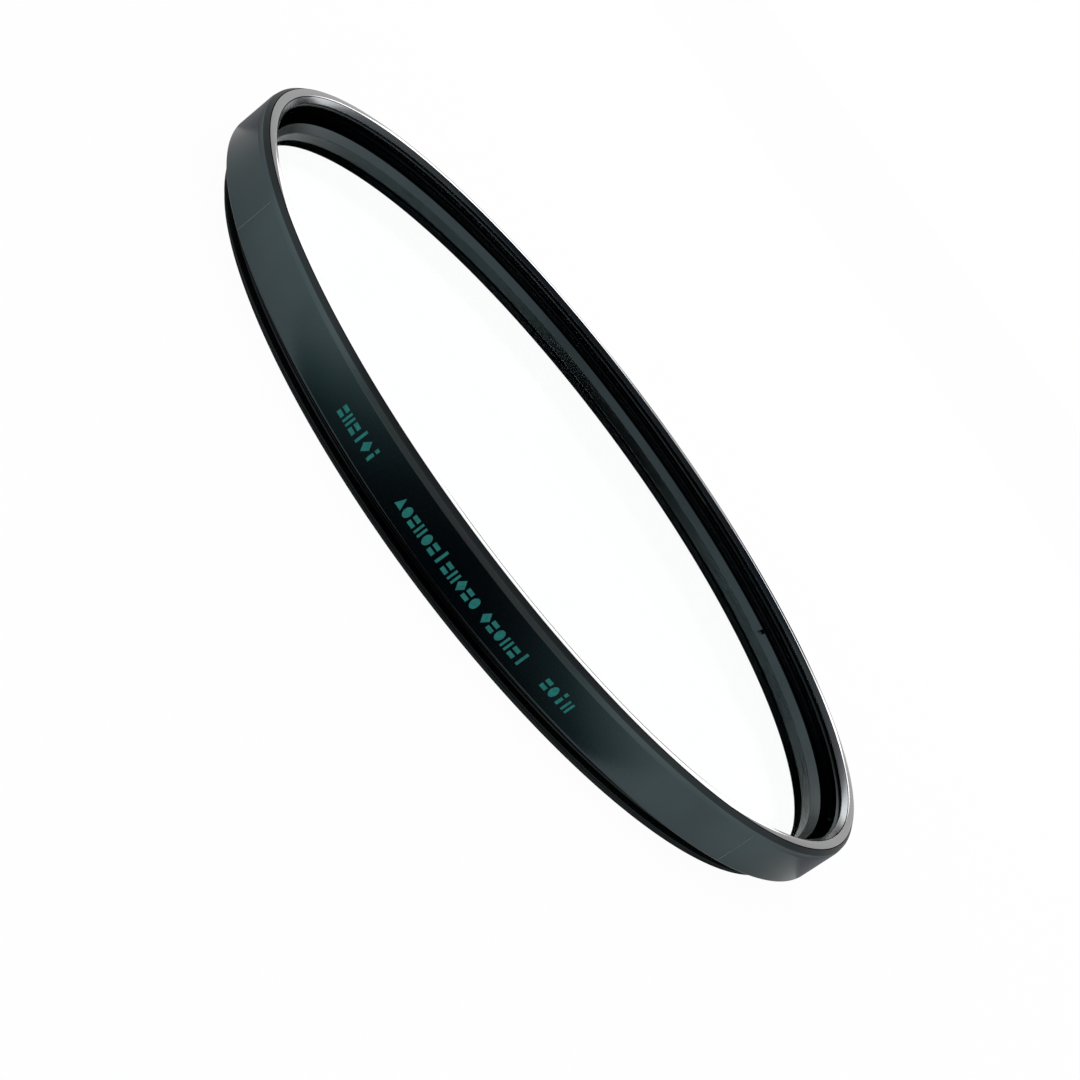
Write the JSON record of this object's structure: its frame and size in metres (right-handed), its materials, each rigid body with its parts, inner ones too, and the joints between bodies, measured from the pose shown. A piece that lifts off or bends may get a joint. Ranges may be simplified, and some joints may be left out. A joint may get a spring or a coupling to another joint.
{
  "type": "protective lens filter",
  "caption": "Slim round screw-in camera filter: a black anodised frame with male and female filter threads holds a clear coated glass disc under a bevelled retaining ring.",
  "frame": {"origin": "centre of the rear end face of the male thread, on which the filter lies", "axes": "+Z along the optical axis, from the camera lens out towards the scene; the print is centred on -Y"},
  "size_m": [0.1084, 0.1084, 0.0082],
  "materials": {
    "frame_anodised": "satin black anodised, fine bead blast",
    "ring_anodised": "satin black anodised, turned",
    "coated_glass": "polished, anti-reflection coated",
    "print_ink": "matt printed ink, teal green"
  },
  "bodies": {
    "root": {"filter_frame": "frame_anodised", "glass_disc": "coated_glass", "retaining_ring": "ring_anodised"}
  },
  "joints": []
}
